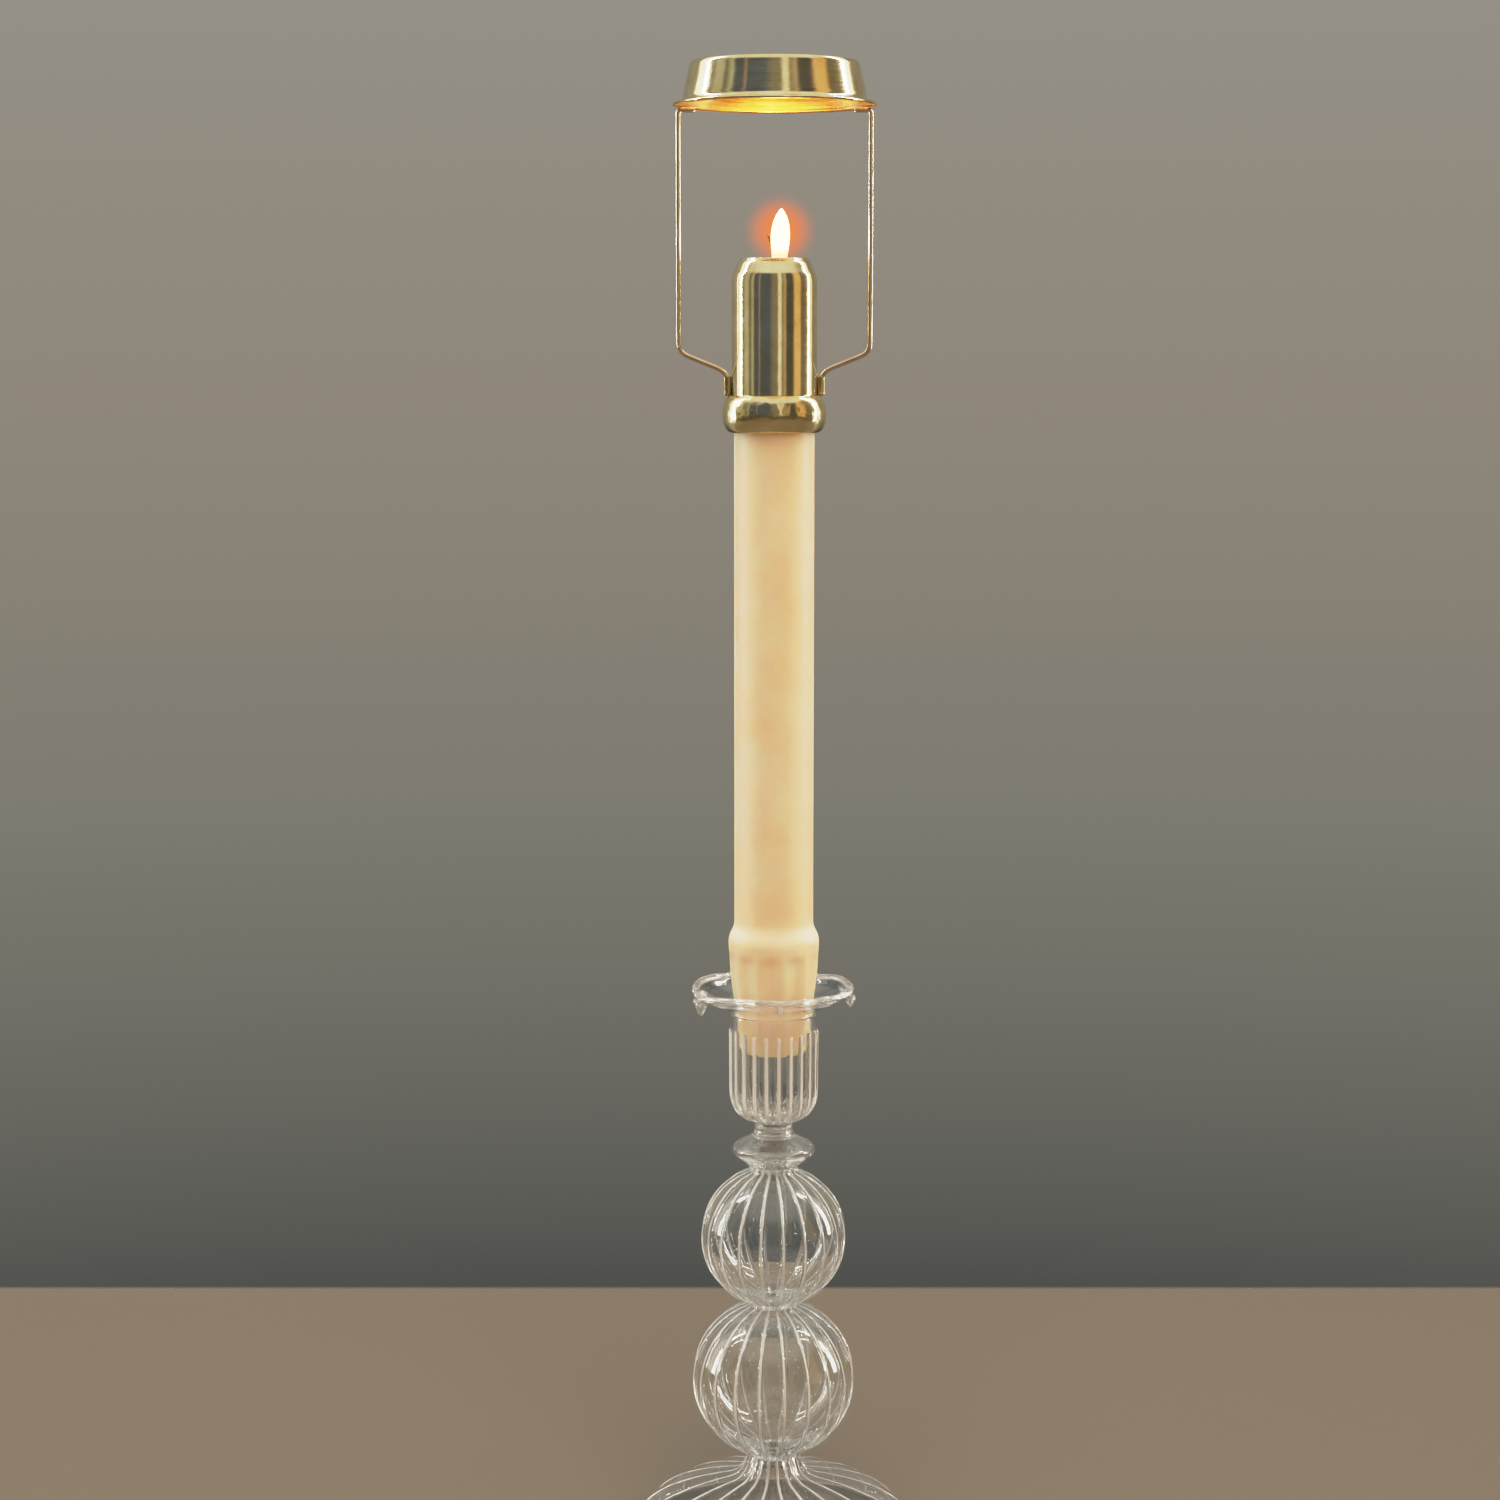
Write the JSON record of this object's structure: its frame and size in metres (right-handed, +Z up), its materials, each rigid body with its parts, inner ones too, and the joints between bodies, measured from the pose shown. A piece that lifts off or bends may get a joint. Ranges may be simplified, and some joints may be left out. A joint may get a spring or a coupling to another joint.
{
  "type": "glass candlestick",
  "caption": "Blown-glass candlestick with ribbed balls, cup and drip pan, holding a candle with a brass follower that carries a shade ring on wire arms.",
  "frame": {"origin": "on the table, under the stem's axis", "axes": "+Z up along the stem, X through the two wire arms, -Y towards the viewer"},
  "size_m": [0.079, 0.079, 0.4167],
  "materials": {
    "clear_glass": "clear blown glass, fire-polished, with moulded ribs",
    "ivory_wax": "ivory candle wax, satin and slightly translucent",
    "wick_cotton": "braided cotton, charred",
    "polished_brass": "polished yellow brass"
  },
  "bodies": {
    "candlestick": {"foot": "clear_glass", "lower_ball": "clear_glass", "upper_ball": "clear_glass", "collar_disc": "clear_glass", "neck": "clear_glass", "cup": "clear_glass", "drip_pan": "clear_glass", "rim_drop_1": "clear_glass", "rim_drop_2": "clear_glass", "rim_drop_3": "clear_glass", "rim_drop_4": "clear_glass", "rim_drop_5": "clear_glass"},
    "candle": {"candle_wax": "ivory_wax", "wick": "wick_cotton"},
    "shade_carrier": {"sleeve": "polished_brass", "bead_ring": "polished_brass", "gallery_ring": "polished_brass", "arm_right": "polished_brass", "arm_left": "polished_brass", "foot_lug_right": "polished_brass", "foot_lug_left": "polished_brass"}
  },
  "joints": [
    {"name": "candle_lift", "type": "slide", "parent": "candlestick", "child": "candle", "axis": [0, 0, 1], "range_m": [0, 0.03]},
    {"name": "carrier_lift", "type": "slide", "parent": "candle", "child": "shade_carrier", "axis": [0, 0, 1], "range_m": [0, 0.06]}
  ]
}
